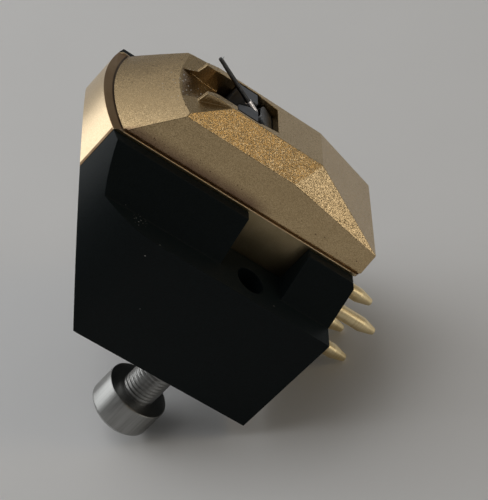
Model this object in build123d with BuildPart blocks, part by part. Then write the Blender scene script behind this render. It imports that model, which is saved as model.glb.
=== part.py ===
"""Moving-coil phono cartridge with its two mounting screws, lying stylus up.

The mounting face is z = 0 and the stylus points up. The nose is at -Y, the terminal pins at +Y,
and the origin is midway between the two mounting holes on the mounting face.
"""

import os
from math import cos, radians, sin, tan

from build123d import *

# Housing, in millimetres
body_width = 16.5
ledge_height = 8.9
seam_height = 11.85
rear_y = 6.4
face_front_y = -7.3
cheek_start_y = -6.9
block_foot_width = 13.04
block_top_width = 9.92
nut_slot_length = 4.86
housing_edge = 0.3

# Mounting holes and screws
hole_spacing = 12.7
thread_diameter = 2.5
thread_minor_diameter = 2.05
thread_clearance = 0.02
thread_end_gap = 0.3
screw_grip = 3.05
screw_reach = 4.2
screw_head_diameter = 4.5
screw_head_height = 2.5
screw_head_edge = 0.25
screw_socket_flats = 2.0
screw_socket_depth = 1.3

# Gold frame and its nose plate
frame_width = 8.44
nose_corner_y = -12.9
nose_bulge = 0.95
nose_plate_foot = 8.3
nose_plate_thickness = 0.63
frame_rim = 0.2
frame_cap = 0.8
frame_wall = 0.9
frame_wall_rear_y = 5.2
frame_rear_overhang = 0.1
frame_corner_radius = 0.5
frame_clearance = 0.03

# Gold cover
groove_height = 0.15
groove_depth = 0.12
cover_height = 4.1
cover_foot_width = 8.16
cover_shoulder_width = 7.07
cover_shoulder_rise = 2.85
cover_flat_width = 3.5
cover_front_slope = 42.3
cover_front_top_radius = 19.0
cover_rear_rise = 1.7
flat_rear_y = 0.21
shoulder_rear_y = -1.18
ramp_slope = 22.8
rail_front_y = -9.05
rail_step = 0.87
rail_droop = 0.14
rail_lean = 0.12
rail_droop_length = 1.0
channel_mouth_width = 2.9
channel_throat_y = -8.3
channel_width = 2.5
channel_rise = 2.83
drop_y = -7.3
pocket_front_y = -6.65
pocket_waist_y = -4.9
pocket_waist_run = 0.15
pocket_rear_y = -3.38
pocket_width = 3.16
pocket_waist_width = 2.9
pocket_rear_width = 2.47
cavity_low_width = 5.4
cavity_low_rise = 2.25
cavity_high_width = 3.4
cavity_rear_y = 3.4
cover_wall = 0.6

# Cantilever line: it leaves the front yoke's top at exit_y, tilted up towards the nose
tracking_angle = 24.0
exit_y = -5.77
pivot_depth = 3.6
cantilever_reach = 7.35
cantilever_root_diameter = 0.34
cantilever_end_diameter = 0.26
cantilever_socket = 1.5
glue_gap = 0.01
sleeve_end = 3.7
sleeve_diameter = 0.42
tip_height = 0.32
tip_diameter = 0.15
tip_point_diameter = 0.0125
tip_setback = 0.12

# Generator, measured along the cantilever line from its pivot
yoke_width = 2.88
yoke_recess = 0.02
yoke_front_y = -6.55
yoke_rear_y = -5.02
notch_mouth_width = 1.8
notch_width = 0.8
notch_throat_y = -5.65
notch_depth = 1.05
nose_block_width = 2.2
nose_block_top = 0.4
nose_block_front = 2.65
nose_block_shoulder = 2.1
exit_slot_width = 0.76
exit_slot_top = 0.32
exit_slot_bottom = -0.54
exit_slot_corner = 0.12
chamber_radius = 0.8
chamber_front = 0.85
magnet_width = 2.8
magnet_front = -0.9
magnet_length = 2.2
magnet_top = 0.85
magnet_bottom = -0.75
rear_yoke_length = 1.1
rear_yoke_bottom = -1.1
pole_radius = 0.55
pole_front = -0.66
pole_clearance = 0.05
wire_radius = 0.06
wire_clearance = 0.02
wire_end_gap = 0.05
set_screw_radius = 0.4
set_screw_proud = 0.12

# Armature and damper
former_height = 0.25
former_arm_width = 0.2
former_hub_radius = 0.2
former_reach = 0.62
former_arm_angle = 45.0
coil_inner_reach = 0.24
coil_outer_reach = 0.58
coil_wall = 0.11
coil_clearance = 0.01
damper_radius = 0.66
damper_thickness = 0.26
damper_gap = 0.24
damper_hole_radius = 0.17

# Terminals and leads
pin_diameter = 1.05
pin_tip_y = 12.0
pin_tip_taper = 0.55
pin_tail_diameter = 0.5
pin_tail_length = 1.0
pin_spacing_x = 3.04
pin_spacing_z = 3.05
pin_low_z = 4.25
terminal_width = 6.4
terminal_height = 4.6
terminal_depth = 2.9
terminal_clearance = 0.03
lead_cavity_front_y = -1.6
strip_length = 1.6
strip_width = 4.6
strip_thickness = 0.4
lead_diameter = 0.3
lead_step = 0.9
lead_bend_radius = 0.6

# Derived sizes
half_width = body_width / 2
frame_half = frame_width / 2
frame_top = seam_height + frame_rim
cap_underside = frame_top - frame_cap
nose_tip_y = nose_corner_y - nose_bulge
nose_radius = (frame_half**2 + nose_bulge**2) / (2 * nose_bulge)
cover_nose_radius = nose_radius - nose_plate_thickness
cover_foot = frame_top + groove_height
cover_flat = frame_top + cover_height
cover_shoulder = frame_top + cover_shoulder_rise
channel_floor = frame_top + channel_rise
cavity_low_top = frame_top + cavity_low_rise
cavity_high_top = cover_flat - cover_wall
cover_rear_y = rear_y + frame_rear_overhang
cover_rear_height = frame_top + cover_rear_rise
cover_foot_half = cover_foot_width / 2
cover_shoulder_half = cover_shoulder_width / 2
cover_flat_half = cover_flat_width / 2
side_lean = (cover_foot_half - cover_shoulder_half) / (cover_shoulder - cover_foot)
rail_foot = cover_flat - rail_step
yoke_top = cover_flat - yoke_recess
hole_radius = thread_diameter / 2 + thread_clearance
outside = 3 * body_width
line_y = cos(radians(tracking_angle))
line_z = sin(radians(tracking_angle))
pivot = Vector(0, exit_y + pivot_depth * line_y, yoke_top - pivot_depth * line_z)
line_plane = Plane(origin=pivot, x_dir=(1, 0, 0), z_dir=(0, -line_y, line_z))
magnet_rear = magnet_front - magnet_length
rear_yoke_rear = magnet_rear - rear_yoke_length
damper_front = -damper_gap
damper_rear = damper_front - damper_thickness
sleeve_radius = sleeve_diameter / 2
socket_start = sleeve_end - cantilever_socket
terminal_front_y = rear_y - terminal_depth
terminal_bottom = pin_low_z + pin_spacing_z / 2 - terminal_height / 2
terminal_top = terminal_bottom + terminal_height
pin_tail_front_y = terminal_front_y - pin_tail_length
strip_underside = cap_underside - strip_thickness
pin_radius = pin_diameter / 2
pin_tail_radius = pin_tail_diameter / 2
sides = {"right": 1, "left": -1}
rows = {"lower": pin_low_z, "upper": pin_low_z + pin_spacing_z}

os.makedirs("parts", exist_ok=True)

# Black housing: flange, tapering middle block, curved cheeks and the slanted front
with BuildPart() as top_housing:
    with BuildSketch():
        with BuildLine():
            rear_edge = Line((-half_width, rear_y), (half_width, rear_y))
            right_side = Line(rear_edge @ 1, (half_width, cheek_start_y))
            right_cheek = TangentArc(right_side @ 1, (frame_half, nose_corner_y), tangent=(0, -1))
            nose = ThreePointArc(right_cheek @ 1, (0, nose_tip_y), (-frame_half, nose_corner_y))
            left_cheek = TangentArc((-half_width, cheek_start_y), nose @ 1, tangent=(0, -1))
            Line(left_cheek @ 0, rear_edge @ 0)
        make_face()
    extrude(amount=seam_height)
    # the middle block leans in on both sides above the ledge
    with BuildSketch(Plane.XZ):
        for side in sides.values():
            with BuildLine():
                Polyline(
                    (side * block_foot_width / 2, ledge_height),
                    (side * half_width * 2, ledge_height),
                    (side * half_width * 2, seam_height),
                    (side * block_top_width / 2, seam_height),
                    close=True,
                )
            make_face()
    extrude(amount=outside, both=True, mode=Mode.SUBTRACT)
    # the slanted front runs from the mounting face to the nose plate's foot
    with BuildSketch(Plane.YZ) as roof:
        roof_run = (face_front_y - nose_corner_y) / nose_plate_foot
        with BuildLine():
            Polyline(
                (face_front_y, 0),
                (face_front_y - 2 * seam_height * roof_run, 2 * seam_height),
                (-outside, 2 * seam_height),
                (-outside, 0),
                close=True,
            )
        make_face()
    extrude(amount=outside, both=True, mode=Mode.SUBTRACT)
    chamfer(top_housing.edges().group_by(Axis.Z)[-1].sort_by(Axis.Y)[-1], length=housing_edge)
    # seat of the gold frame, open at the nose
    with BuildSketch(Plane.XY.offset(nose_plate_foot)):
        with Locations((0, frame_wall_rear_y + frame_clearance)):
            Rectangle(frame_width + 2 * frame_clearance, outside, align=(Align.CENTER, Align.MAX))
    extrude(amount=seam_height, mode=Mode.SUBTRACT)
    # nut slots down to the ledge, beside the frame
    with BuildSketch(Plane.XY.offset(ledge_height)):
        Rectangle(2 * body_width, nut_slot_length)
    extrude(amount=seam_height, mode=Mode.SUBTRACT)
    # room for the leads, and the terminal block's window in the rear face
    with BuildSketch(Plane.XY.offset(terminal_bottom - terminal_clearance)):
        with Locations((0, lead_cavity_front_y)):
            Rectangle(terminal_width + 2 * terminal_clearance, outside, align=(Align.CENTER, Align.MIN))
    extrude(amount=terminal_height + 2 * terminal_clearance, mode=Mode.SUBTRACT)
    with BuildSketch(Plane.XY.offset(terminal_top)):
        with Locations((0, lead_cavity_front_y)):
            Rectangle(
                frame_width - 2 * frame_wall,
                frame_wall_rear_y - frame_wall - lead_cavity_front_y,
                align=(Align.CENTER, Align.MIN),
            )
    extrude(amount=seam_height, mode=Mode.SUBTRACT)
    # mounting holes: clear of the screws' threads, and at the thread's minor diameter beyond their ends
    with BuildSketch():
        with GridLocations(hole_spacing, 0, 2, 1):
            Circle(hole_radius)
    extrude(amount=screw_reach + thread_end_gap, mode=Mode.SUBTRACT)
    with GridLocations(hole_spacing, 0, 2, 1):
        Hole(radius=thread_minor_diameter / 2)
top_housing.part.label = "top_housing"
export_step(top_housing.part, "parts/top_housing.step")

# Gold frame: capped box in the housing's seat, with the curved nose plate and the thin rim
with BuildPart() as base_frame:
    with BuildSketch(Plane.XY.offset(nose_plate_foot)):
        with BuildLine():
            front = ThreePointArc(
                (-frame_half, nose_corner_y), (0, nose_tip_y), (frame_half, nose_corner_y)
            )
            Polyline(
                front @ 1,
                (frame_half, frame_wall_rear_y),
                (-frame_half, frame_wall_rear_y),
                front @ 0,
            )
        make_face()
    extrude(amount=seam_height - nose_plate_foot)
    with BuildSketch(Plane.XY.offset(seam_height)):
        with BuildLine():
            rim_front = ThreePointArc(
                (-frame_half, nose_corner_y), (0, nose_tip_y), (frame_half, nose_corner_y)
            )
            FilletPolyline(
                rim_front @ 1,
                (frame_half, cover_rear_y),
                (-frame_half, cover_rear_y),
                rim_front @ 0,
                radius=frame_corner_radius,
            )
        make_face()
    extrude(amount=frame_rim)
    add(extrude(roof.sketch, amount=outside, both=True, mode=Mode.PRIVATE), mode=Mode.SUBTRACT)
    # the box is open below
    with BuildSketch(Plane.XY.offset(nose_plate_foot)):
        with Locations((0, frame_wall_rear_y - frame_wall)):
            Rectangle(
                frame_width - 2 * frame_wall,
                frame_wall_rear_y - frame_wall - nose_corner_y - 2 * nose_plate_thickness,
                align=(Align.CENTER, Align.MAX),
            )
    extrude(amount=cap_underside - nose_plate_foot, mode=Mode.SUBTRACT)
base_frame.part.label = "base_frame"
export_step(base_frame.part, "parts/base_frame.step")

# Faceted gold cover on the stylus side
with BuildPart() as bottom_cover:
    with BuildSketch(Plane.XZ):
        with BuildLine():
            half = Polyline(
                (0, frame_top),
                (cover_foot_half - groove_depth, frame_top),
                (cover_foot_half - groove_depth, cover_foot),
                (cover_foot_half, cover_foot),
                (cover_shoulder_half, cover_shoulder),
                (cover_flat_half, cover_flat),
                (0, cover_flat),
            )
            mirror(half, about=Plane.YZ)
        make_face()
    extrude(amount=outside, both=True)
    # curved nose slope behind the nose plate, flatter towards its top
    slope_run = cover_height / tan(radians(cover_front_slope))
    slope_arcs = (
        (frame_top, cover_nose_radius, nose_tip_y + nose_plate_thickness),
        (cover_flat, cover_front_top_radius, nose_tip_y + nose_plate_thickness + slope_run),
    )
    for slope_z, slope_radius, slope_y in slope_arcs:
        sagitta = slope_radius - (slope_radius**2 - frame_half**2) ** 0.5
        with BuildSketch(Plane.XY.offset(slope_z)):
            with BuildLine():
                slope_arc = ThreePointArc(
                    (-frame_half, slope_y + sagitta), (0, slope_y), (frame_half, slope_y + sagitta)
                )
                Polyline(slope_arc @ 1, (frame_half, outside), (-frame_half, outside), slope_arc @ 0)
            make_face()
    loft(ruled=True, mode=Mode.INTERSECT)
    # rear face, rear slope and the two rear facets
    split(bisect_by=Plane(origin=(0, cover_rear_y, 0), z_dir=(0, 1, 0)), keep=Keep.BOTTOM)
    flat_corner = Vector(cover_flat_half, flat_rear_y, cover_flat)
    shoulder_corner = Vector(cover_shoulder_half, shoulder_rear_y, cover_shoulder)
    rear_half = cover_foot_half - side_lean * (cover_rear_height - cover_foot)
    rear_corner = Vector(rear_half, cover_rear_y, cover_rear_height)
    rear_fall = Vector(0, cover_rear_y - flat_rear_y, cover_rear_height - cover_flat)
    split(
        bisect_by=Plane(origin=flat_corner, x_dir=(1, 0, 0), z_dir=Vector(1, 0, 0).cross(rear_fall)),
        keep=Keep.BOTTOM,
    )
    facet = (rear_corner - shoulder_corner).cross(flat_corner - shoulder_corner)
    facet_plane = Plane(origin=shoulder_corner, z_dir=facet)
    split(bisect_by=facet_plane, keep=Keep.BOTTOM)
    mirrored_corner = Vector(-shoulder_corner.X, shoulder_corner.Y, shoulder_corner.Z)
    split(
        bisect_by=Plane(origin=mirrored_corner, z_dir=Vector(-facet.X, facet.Y, facet.Z)),
        keep=Keep.BOTTOM,
    )
    # ramp in front of the rails, which stand on it
    with BuildSketch(Plane.YZ):
        ramp_rise = 2 * seam_height * tan(radians(ramp_slope))
        with BuildLine():
            Polyline(
                (rail_front_y - 2 * seam_height, rail_foot - ramp_rise),
                (rail_front_y + 2 * seam_height, rail_foot + ramp_rise),
                (rail_front_y - 2 * seam_height, rail_foot + ramp_rise),
                close=True,
            )
        make_face()
    extrude(amount=outside, both=True, mode=Mode.SUBTRACT)
    with BuildSketch(Plane.YZ):
        with BuildLine():
            Polyline(
                (rail_front_y - rail_lean, channel_floor),
                (rail_front_y + rail_lean, cover_flat - rail_droop),
                (rail_front_y + rail_droop_length, cover_flat),
                (pocket_front_y, cover_flat),
                (pocket_front_y, channel_floor),
                close=True,
            )
        make_face()
    extrude(amount=cover_flat_half, both=True)
    # channel for the cantilever, flared at its mouth
    with BuildSketch(Plane.XY.offset(channel_floor)):
        with BuildLine():
            channel_edge = Polyline(
                (0, nose_tip_y),
                (channel_mouth_width / 2, nose_tip_y),
                (channel_mouth_width / 2, rail_front_y),
                (channel_width / 2, channel_throat_y),
                (channel_width / 2, pocket_front_y),
                (0, pocket_front_y),
            )
            mirror(channel_edge, about=Plane.YZ)
        make_face()
    extrude(amount=cover_height, mode=Mode.SUBTRACT)
    # pocket through the flat, narrowing behind the yoke, with the drop in front of it
    with BuildSketch(Plane.XY.offset(cavity_low_top)):
        with BuildLine():
            pocket_edge = Polyline(
                (0, drop_y),
                (channel_width / 2, drop_y),
                (channel_width / 2, pocket_front_y),
                (pocket_width / 2, pocket_front_y),
                (pocket_width / 2, pocket_waist_y),
                (pocket_waist_width / 2, pocket_waist_y + pocket_waist_run),
                (pocket_rear_width / 2, pocket_rear_y),
                (0, pocket_rear_y),
            )
            mirror(pocket_edge, about=Plane.YZ)
        make_face()
    extrude(amount=cover_height, mode=Mode.SUBTRACT)
    # room for the generator
    with BuildSketch(Plane.XY.offset(frame_top)):
        with Locations((0, drop_y)):
            Rectangle(cavity_low_width, cavity_rear_y - drop_y, align=(Align.CENTER, Align.MIN))
    extrude(amount=cavity_low_rise, mode=Mode.SUBTRACT)
    with BuildSketch(Plane.YZ):
        high_rear_y = cavity_rear_y + (cavity_high_top - cavity_low_top) * rear_fall.Y / rear_fall.Z
        with BuildLine():
            Polyline(
                (drop_y, frame_top),
                (drop_y, cavity_high_top),
                (high_rear_y, cavity_high_top),
                (cavity_rear_y, cavity_low_top),
                (cavity_rear_y, frame_top),
                close=True,
            )
        make_face()
    extrude(amount=cavity_high_width / 2, both=True, mode=Mode.SUBTRACT)
bottom_cover.part.label = "bottom_cover"
export_step(bottom_cover.part, "parts/bottom_cover.step")

# Mounting screws, their heads standing off by the headshell's thickness
for side_name, side in sides.items():
    with BuildPart(Plane.XY.offset(-screw_grip)) as mounting_screw:
        with Locations((side * hole_spacing / 2, 0)):
            Cylinder(
                screw_head_diameter / 2, screw_head_height, align=(Align.CENTER, Align.CENTER, Align.MAX)
            )
            chamfer(mounting_screw.edges().group_by(Axis.Z)[0], length=screw_head_edge)
            Cylinder(
                thread_diameter / 2,
                screw_grip + screw_reach,
                align=(Align.CENTER, Align.CENTER, Align.MIN),
            )
            chamfer(mounting_screw.edges().group_by(Axis.Z)[-1], length=screw_head_edge)
        # hexagon socket in the head's end
        with BuildSketch(Plane.XY.offset(-screw_grip - screw_head_height)):
            with Locations((side * hole_spacing / 2, 0)):
                RegularPolygon(screw_socket_flats / 2, 6, major_radius=False)
        extrude(amount=screw_socket_depth, mode=Mode.SUBTRACT)
    mounting_screw.part.label = f"mounting_screw_{side_name}"
    export_step(mounting_screw.part, f"parts/mounting_screw_{side_name}.step")

# Terminal block, flush with the rear face
with BuildPart() as terminal_block:
    with BuildSketch(Plane.XY.offset(terminal_bottom)):
        with Locations((0, rear_y)):
            Rectangle(terminal_width, terminal_depth, align=(Align.CENTER, Align.MAX))
    extrude(amount=terminal_height)
    with BuildSketch(Plane.XZ.offset(-rear_y)):
        with Locations((0, pin_low_z + pin_spacing_z / 2)):
            with GridLocations(pin_spacing_x, pin_spacing_z, 2, 2):
                Circle(pin_tail_radius)
    extrude(amount=terminal_depth, mode=Mode.SUBTRACT)
terminal_block.part.label = "terminal_block"
export_step(terminal_block.part, "parts/terminal_block.step")

# Terminal pins, each with a shoulder on the block, a tapered end and a thinner solder tail
for side_name, side in sides.items():
    for row_name, pin_z in rows.items():
        with BuildPart() as terminal_pin:
            with BuildSketch(Plane.YZ.offset(side * pin_spacing_x / 2)):
                with BuildLine():
                    Polyline(
                        (pin_tail_front_y, pin_z),
                        (pin_tail_front_y, pin_z + pin_tail_radius),
                        (rear_y, pin_z + pin_tail_radius),
                        (rear_y, pin_z + pin_radius),
                        (pin_tip_y - 2 * pin_tip_taper, pin_z + pin_radius),
                        (pin_tip_y, pin_z + pin_radius - pin_tip_taper / 2),
                        (pin_tip_y, pin_z),
                        close=True,
                    )
                make_face()
            revolve(axis=Axis((side * pin_spacing_x / 2, 0, pin_z), (0, 1, 0)))
        terminal_pin.part.label = f"{row_name}_{side_name}_pin"
        export_step(terminal_pin.part, f"parts/{row_name}_{side_name}_pin.step")

# Board under the frame's cap where the coil leads end
with BuildPart() as lead_strip:
    with BuildSketch(Plane.XY.offset(strip_underside)):
        Rectangle(strip_width, strip_length)
    extrude(amount=strip_thickness)
lead_strip.part.label = "lead_strip"
export_step(lead_strip.part, "parts/lead_strip.step")

# Leads from the pins' tails to the board, the lower ones rising further forward
for side_name, side in sides.items():
    for row_name, pin_z in rows.items():
        rise_y = lead_step / 2 if row_name == "upper" else -lead_step / 2
        lead_x = side * pin_spacing_x / 2
        with BuildPart() as lead:
            with BuildLine():
                FilletPolyline(
                    (lead_x, pin_tail_front_y, pin_z),
                    (lead_x, rise_y, pin_z),
                    (lead_x, rise_y, strip_underside),
                    radius=lead_bend_radius,
                )
            with BuildSketch(Plane(origin=(lead_x, pin_tail_front_y, pin_z), z_dir=(0, -1, 0))):
                Circle(lead_diameter / 2)
            sweep()
        lead.part.label = f"{row_name}_{side_name}_lead"
        export_step(lead.part, f"parts/{row_name}_{side_name}_lead.step")

# Front yoke: notched plate, and behind it the tilted block that the cantilever comes out of
nose_block_plane = Plane(
    origin=line_plane.from_local_coords((0, nose_block_top, 0)), x_dir=(1, 0, 0), z_dir=line_plane.y_dir
)
with BuildPart() as front_yoke:
    with BuildSketch(nose_block_plane):
        with BuildLine():
            nose_arc = ThreePointArc(
                (-nose_block_width / 2, -nose_block_shoulder),
                (0, -nose_block_front),
                (nose_block_width / 2, -nose_block_shoulder),
            )
            Polyline(
                nose_arc @ 1,
                (nose_block_width / 2, -magnet_front),
                (-nose_block_width / 2, -magnet_front),
                nose_arc @ 0,
            )
        make_face()
    extrude(amount=-cover_height)
    with BuildSketch(Plane.XY.offset(frame_top)):
        with Locations((0, yoke_front_y)):
            Rectangle(yoke_width, yoke_rear_y - yoke_front_y, align=(Align.CENTER, Align.MIN))
    extrude(amount=yoke_top - frame_top)
    split(bisect_by=Plane.XY.offset(frame_top), keep=Keep.TOP)
    # notch, wide at the front
    with BuildSketch(Plane.XY.offset(yoke_top)):
        with BuildLine():
            notch_edge = Polyline(
                (0, yoke_front_y),
                (notch_mouth_width / 2, yoke_front_y),
                (notch_width / 2, notch_throat_y),
                (notch_width / 2, yoke_rear_y),
                (0, yoke_rear_y),
            )
            mirror(notch_edge, about=Plane.YZ)
        make_face()
    extrude(amount=-notch_depth, mode=Mode.SUBTRACT)
    # chamber of the coils, and the slot that the sleeve swings in
    with BuildSketch(line_plane.offset(magnet_front)):
        Circle(chamber_radius)
    extrude(amount=chamber_front - magnet_front, mode=Mode.SUBTRACT)
    with BuildSketch(line_plane):
        with Locations((0, (exit_slot_top + exit_slot_bottom) / 2)):
            RectangleRounded(exit_slot_width, exit_slot_top - exit_slot_bottom, exit_slot_corner)
    extrude(amount=pivot_depth, mode=Mode.SUBTRACT)
front_yoke.part.label = "front_yoke"
export_step(front_yoke.part, "parts/front_yoke.step")

# Magnet, bored for the pole piece
with BuildPart() as magnet:
    with BuildSketch(line_plane.offset(magnet_front)):
        with Locations((0, magnet_bottom)):
            Rectangle(magnet_width, magnet_top - magnet_bottom, align=(Align.CENTER, Align.MIN))
        Circle(pole_radius + pole_clearance, mode=Mode.SUBTRACT)
    extrude(amount=-magnet_length)
magnet.part.label = "magnet"
export_step(magnet.part, "parts/magnet.step")

# Rear yoke, with the set screw's hole above the pole piece
with BuildPart() as rear_yoke:
    with BuildSketch(line_plane.offset(magnet_rear)):
        with Locations((0, rear_yoke_bottom)):
            Rectangle(magnet_width, magnet_top - rear_yoke_bottom, align=(Align.CENTER, Align.MIN))
        Circle(pole_radius, mode=Mode.SUBTRACT)
    extrude(amount=-rear_yoke_length)
    # its lower corner is ground flat where it rests on the frame
    split(bisect_by=Plane.XY.offset(frame_top), keep=Keep.TOP)
    set_screw_plane = Plane(
        origin=line_plane.from_local_coords((0, pole_radius, magnet_rear - rear_yoke_length / 2)),
        z_dir=line_plane.y_dir,
    )
    with BuildSketch(set_screw_plane.offset(-pole_radius / 2)):
        Circle(set_screw_radius)
    extrude(amount=magnet_top, mode=Mode.SUBTRACT)
rear_yoke.part.label = "rear_yoke"
export_step(rear_yoke.part, "parts/rear_yoke.step")

# Set screw, pressing on the pole piece's flat
with BuildPart() as set_screw:
    with BuildSketch(set_screw_plane):
        Circle(set_screw_radius)
    extrude(amount=magnet_top - pole_radius + set_screw_proud)
set_screw.part.label = "set_screw"
export_step(set_screw.part, "parts/set_screw.step")

# Pole piece, drilled for the suspension wire
with BuildPart() as pole_piece:
    with BuildSketch(line_plane.offset(rear_yoke_rear)):
        Circle(pole_radius)
        Circle(wire_radius + wire_clearance, mode=Mode.SUBTRACT)
    extrude(amount=pole_front - rear_yoke_rear)
pole_piece.part.label = "pole_piece"
export_step(pole_piece.part, "parts/pole_piece.step")

# Suspension wire through the pole piece and the damper
with BuildPart() as suspension_wire:
    with BuildSketch(line_plane.offset(rear_yoke_rear)):
        Circle(wire_radius)
    extrude(amount=-wire_end_gap - rear_yoke_rear)
suspension_wire.part.label = "suspension_wire"
export_step(suspension_wire.part, "parts/suspension_wire.step")

# Rubber damper ring behind the armature
with BuildPart() as damper_ring:
    with BuildSketch(line_plane.offset(damper_rear)):
        Circle(damper_radius)
        Circle(damper_hole_radius, mode=Mode.SUBTRACT)
    extrude(amount=damper_thickness)
damper_ring.part.label = "damper_ring"
export_step(damper_ring.part, "parts/damper_ring.step")

# Coil former: a hub with two arms in a V
with BuildPart() as coil_former:
    with BuildSketch(line_plane):
        Circle(former_hub_radius)
        with Locations(*[Location((0, 0), 90 - side * former_arm_angle) for side in sides.values()]):
            Rectangle(former_reach, former_arm_width, align=(Align.MIN, Align.CENTER))
    extrude(amount=former_height)
coil_former.part.label = "coil_former"
export_step(coil_former.part, "parts/coil_former.step")

# Coils, one wound around each arm
for side_name, side in sides.items():
    arm_across = line_plane.x_dir * side * sin(radians(former_arm_angle))
    arm = arm_across + line_plane.y_dir * cos(radians(former_arm_angle))
    coil_centre = pivot + line_plane.z_dir * (former_height / 2) + arm * coil_inner_reach
    coil_bore_height = former_height + 2 * coil_clearance
    coil_bore_width = former_arm_width + 2 * coil_clearance
    with BuildPart() as coil:
        with BuildSketch(Plane(origin=coil_centre, x_dir=line_plane.z_dir, z_dir=arm)):
            RectangleRounded(coil_bore_height + 2 * coil_wall, coil_bore_width + 2 * coil_wall, coil_wall)
            Rectangle(coil_bore_height, coil_bore_width, mode=Mode.SUBTRACT)
        extrude(amount=coil_outer_reach - coil_inner_reach)
    coil.part.label = f"{side_name}_coil"
    export_step(coil.part, f"parts/{side_name}_coil.step")

# Sleeve from the former to the cantilever's root
with BuildPart() as cantilever_sleeve:
    with BuildSketch(line_plane.offset(former_height)):
        Circle(sleeve_radius)
    extrude(amount=sleeve_end - former_height)
    with BuildSketch(line_plane.offset(sleeve_end)):
        Circle(cantilever_root_diameter / 2 + glue_gap)
    extrude(amount=-cantilever_socket, mode=Mode.SUBTRACT)
cantilever_sleeve.part.label = "cantilever_sleeve"
export_step(cantilever_sleeve.part, "parts/cantilever_sleeve.step")

# Cantilever, tapering slightly to its end, with a seat for the tip
with BuildPart() as cantilever:
    with BuildSketch(line_plane.offset(socket_start)):
        Circle(cantilever_root_diameter / 2)
    with BuildSketch(line_plane.offset(sleeve_end)):
        Circle(cantilever_root_diameter / 2)
    loft()
    with BuildSketch(line_plane.offset(sleeve_end)):
        Circle(cantilever_root_diameter / 2)
    with BuildSketch(line_plane.offset(cantilever_reach)):
        Circle(cantilever_end_diameter / 2)
    loft()
    tip_seat = line_plane.from_local_coords((0, 0, cantilever_reach - tip_setback))
    with BuildSketch(Plane.XY.offset(tip_seat.Z)):
        with Locations((tip_seat.X, tip_seat.Y)):
            Circle(tip_diameter / 2 + glue_gap)
    extrude(amount=tip_height, mode=Mode.SUBTRACT)
cantilever.part.label = "cantilever"
export_step(cantilever.part, "parts/cantilever.step")

# Diamond tip, pointing at the record
with BuildPart(Plane(origin=tip_seat)) as stylus_tip:
    Cylinder(tip_diameter / 2, tip_height / 2, align=(Align.CENTER, Align.CENTER, Align.MIN))
    with Locations((0, 0, tip_height / 2)):
        Cone(
            tip_diameter / 2,
            tip_point_diameter / 2,
            tip_height / 2,
            align=(Align.CENTER, Align.CENTER, Align.MIN),
        )
stylus_tip.part.label = "stylus_tip"
export_step(stylus_tip.part, "parts/stylus_tip.step")
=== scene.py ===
"""Looks of a moving-coil phono cartridge that lies, stylus up, on a plain pale table.

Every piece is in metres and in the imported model's own frame: the mounting face is z = 0, the stylus
points to +Z, the nose is at -Y and the terminal pins are at +Y.
"""

import logging
from collections.abc import Callable
from dataclasses import dataclass
from enum import Enum
from math import pi, radians
from typing import ClassVar

import bmesh
import bpy
import numpy as np
from mathutils import Matrix, Vector


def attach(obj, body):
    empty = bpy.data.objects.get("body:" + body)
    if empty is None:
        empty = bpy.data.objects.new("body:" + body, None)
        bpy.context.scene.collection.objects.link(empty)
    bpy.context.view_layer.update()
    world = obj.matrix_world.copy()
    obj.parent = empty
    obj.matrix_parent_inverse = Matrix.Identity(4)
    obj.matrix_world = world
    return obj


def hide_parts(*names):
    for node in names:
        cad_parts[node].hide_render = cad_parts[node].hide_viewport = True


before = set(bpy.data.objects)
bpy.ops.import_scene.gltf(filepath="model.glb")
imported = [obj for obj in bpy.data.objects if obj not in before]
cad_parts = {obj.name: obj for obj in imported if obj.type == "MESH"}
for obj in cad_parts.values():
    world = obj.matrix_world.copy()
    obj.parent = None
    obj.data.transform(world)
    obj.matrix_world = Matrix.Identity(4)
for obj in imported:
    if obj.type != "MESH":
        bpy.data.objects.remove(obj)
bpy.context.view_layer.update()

MM = 0.001

# the part of a noise's range that most of it falls in
GRAIN = (0.3, 0.7)
# distance within which points are one, in millimetres, and within which they lie on a cut, in metres
MERGE = 0.0005
CUT_REACH = 1e-7
# angles in degrees: up to which faces are in one plane, from which an edge is eased, from which shading breaks
FLAT = 0.3
HARD = 25.0
SHARP = 32.0
# steps of an eased edge and of an eased corner, and the share of a side that a corner takes at most
EDGE_STEPS = 3
CORNER_STEPS = 4
CORNER_SHARE = 0.45

log = logging.getLogger("cartridge")

Tone = tuple[float, float, float]
Triple = tuple[float, float, float]
Socket = bpy.types.NodeSocket
Entry = float | tuple[float, ...] | Socket
Cuts = tuple[tuple[Triple, Triple], ...]
Zone = tuple[Triple, float, float]
Corners = list[tuple[float, float]]


class Body(Enum):
    """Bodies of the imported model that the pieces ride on."""

    CARTRIDGE = "cartridge_body"
    STYLUS = "stylus_arm"


class Spelt(Enum):
    """Choices whose names are parts of the nodes' names."""

    @property
    def word(self) -> str:
        """The choice's name as the nodes spell it."""
        return self.name.lower()


class Side(Spelt):
    """The two sides of the cartridge, each with its sign along X."""

    RIGHT = 1
    LEFT = -1


class Row(Spelt):
    """The two rows of terminal pins, each with its height in millimetres."""

    LOWER = 4.25
    UPPER = 7.3


@dataclass(frozen=True)
class Scatter:
    """Round specks in the cells of a Voronoi pattern, of which a random share holds one.

    Spacing and radius are in millimetres. A speck is full up to its core, as a share of the radius, and the cells
    whose draw is within firm of the share hold a full one.
    """

    spacing: float
    radius: float
    share: float
    core: float = 0.55
    firm: float = 0.8


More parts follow.
